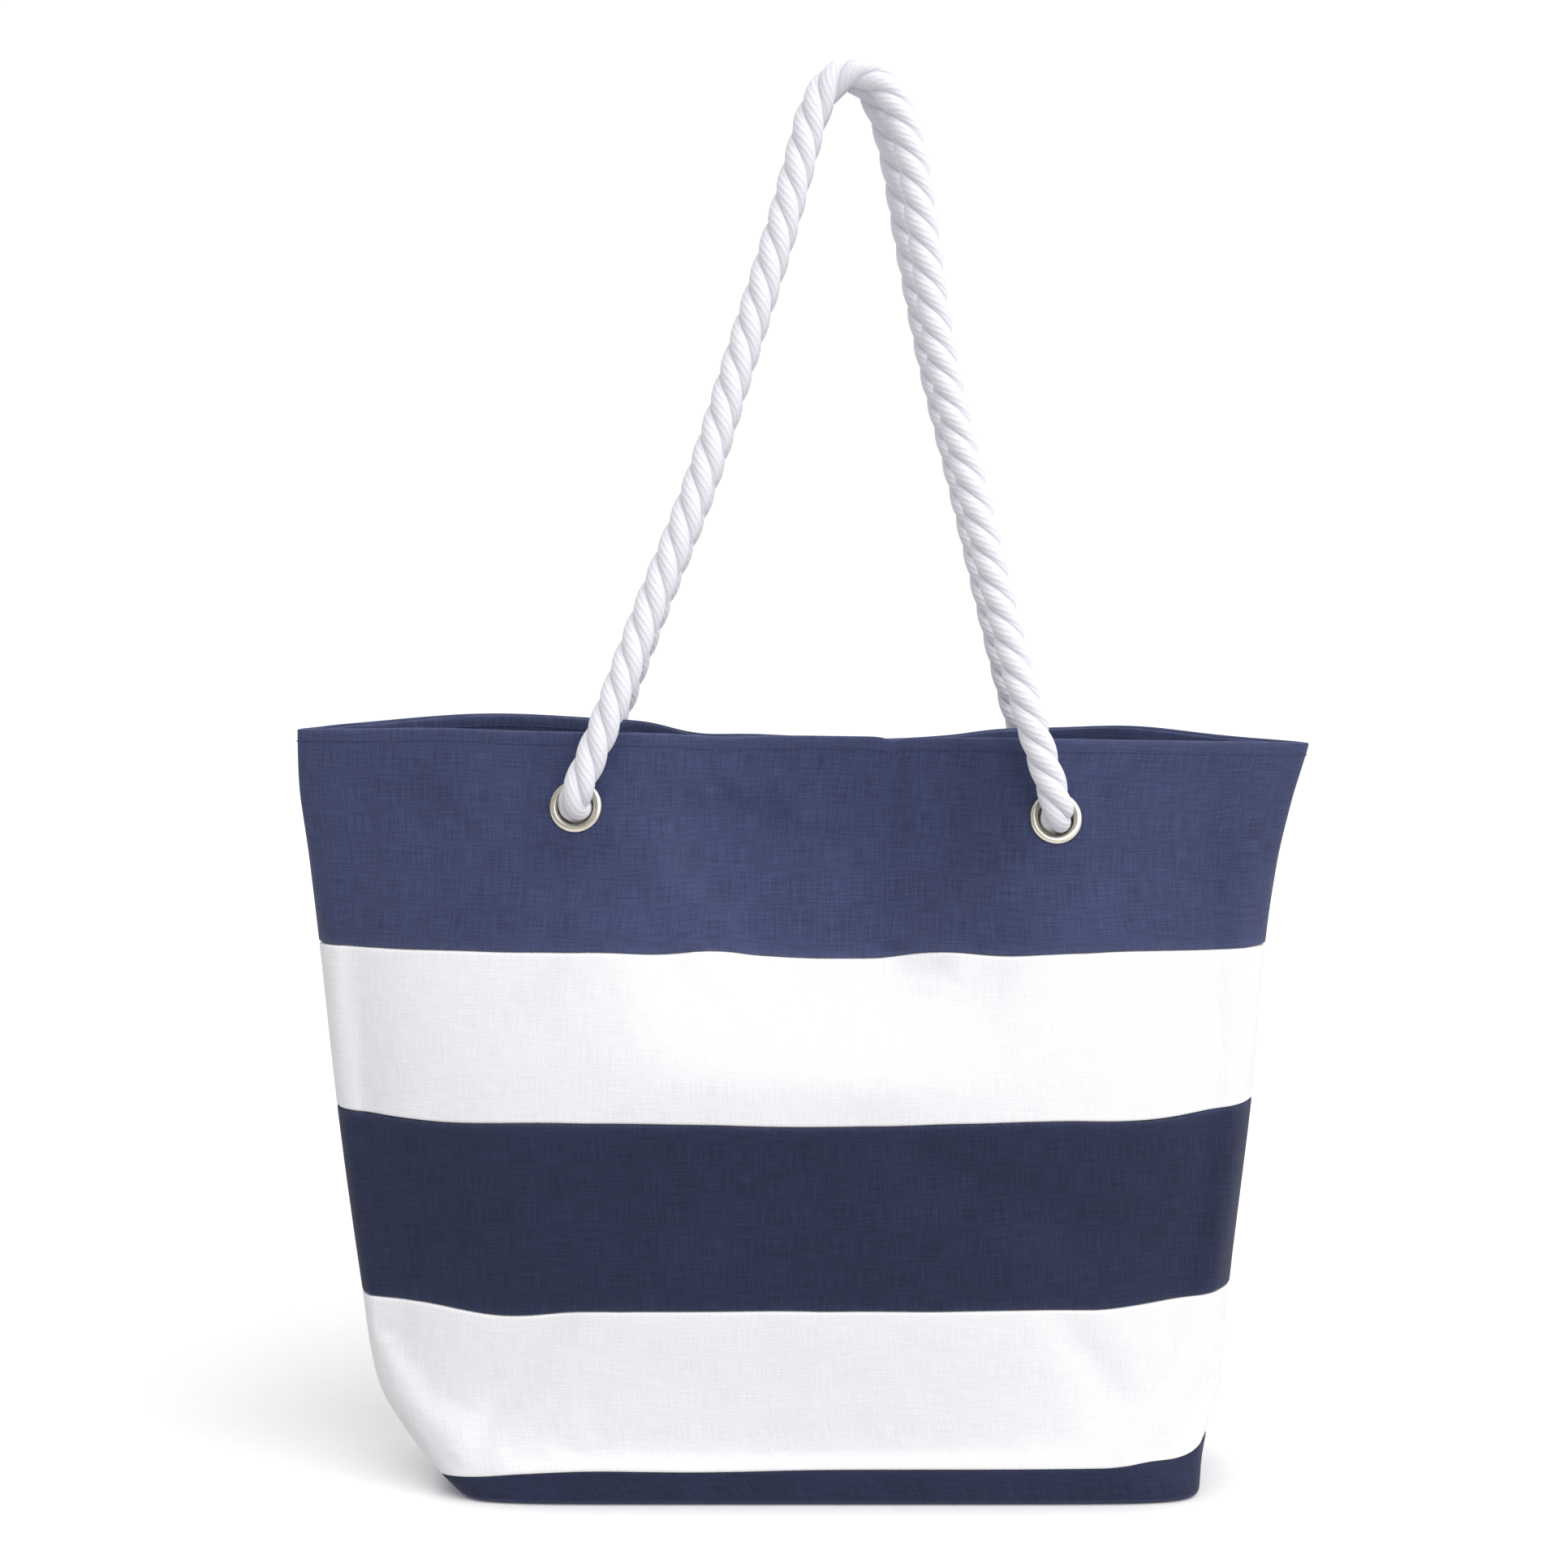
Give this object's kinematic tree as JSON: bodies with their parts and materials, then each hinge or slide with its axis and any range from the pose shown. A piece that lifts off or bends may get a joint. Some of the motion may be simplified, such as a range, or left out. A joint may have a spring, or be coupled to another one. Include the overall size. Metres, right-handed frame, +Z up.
{
  "type": "canvas beach bag",
  "caption": "Soft canvas beach bag in navy and white stripes, open top pinched shut by a snap, twisted rope handles through metal eyelets.",
  "frame": {"origin": "centre of the bounding box at the base, on the surface that the bag stands on", "axes": "+Z up, the bag's width along X, the front facing -Y"},
  "size_m": [0.5192, 0.1542, 0.7332],
  "materials": {
    "navy_canvas": "matte woven canvas",
    "white_canvas": "matte woven canvas",
    "lining_cloth": "matte plain weave",
    "cotton_rope": "matte twisted cotton",
    "nickel": "polished nickel plate",
    "snap_metal": "satin"
  },
  "bodies": {
    "bag": {"front_top_band": "navy_canvas", "front_upper_white_band": "white_canvas", "front_middle_navy_band": "navy_canvas", "front_lower_white_band": "white_canvas", "front_facing": "navy_canvas", "front_lining": "lining_cloth", "eyelet_front_left": "nickel", "washer_front_left": "nickel", "rope_end_front_left": "cotton_rope", "eyelet_front_right": "nickel", "washer_front_right": "nickel", "rope_end_front_right": "cotton_rope", "back_top_band": "navy_canvas", "back_upper_white_band": "white_canvas", "back_middle_navy_band": "navy_canvas", "back_lower_white_band": "white_canvas", "back_facing": "navy_canvas", "back_lining": "lining_cloth", "eyelet_back_left": "nickel", "washer_back_left": "nickel", "rope_end_back_left": "cotton_rope", "eyelet_back_right": "nickel", "washer_back_right": "nickel", "rope_end_back_right": "cotton_rope", "base_band": "navy_canvas", "inner_pocket": "lining_cloth", "snap_socket": "snap_metal", "snap_stud": "snap_metal"},
    "front_handle": {"front_handle_rope": "cotton_rope"},
    "back_handle": {"back_handle_rope": "cotton_rope"}
  },
  "joints": [
    {"name": "front_handle_swing", "type": "hinge", "parent": "bag", "child": "front_handle", "pos_m": [0.00668, -0.04757, 0.35433], "axis": [0.9997, 0.0053, -0.0243], "range_deg": [0, 150]},
    {"name": "back_handle_swing", "type": "hinge", "parent": "bag", "child": "back_handle", "pos_m": [0.00668, 0.04757, 0.35433], "axis": [-0.9997, 0.0053, 0.0243], "range_deg": [0, 150]}
  ]
}
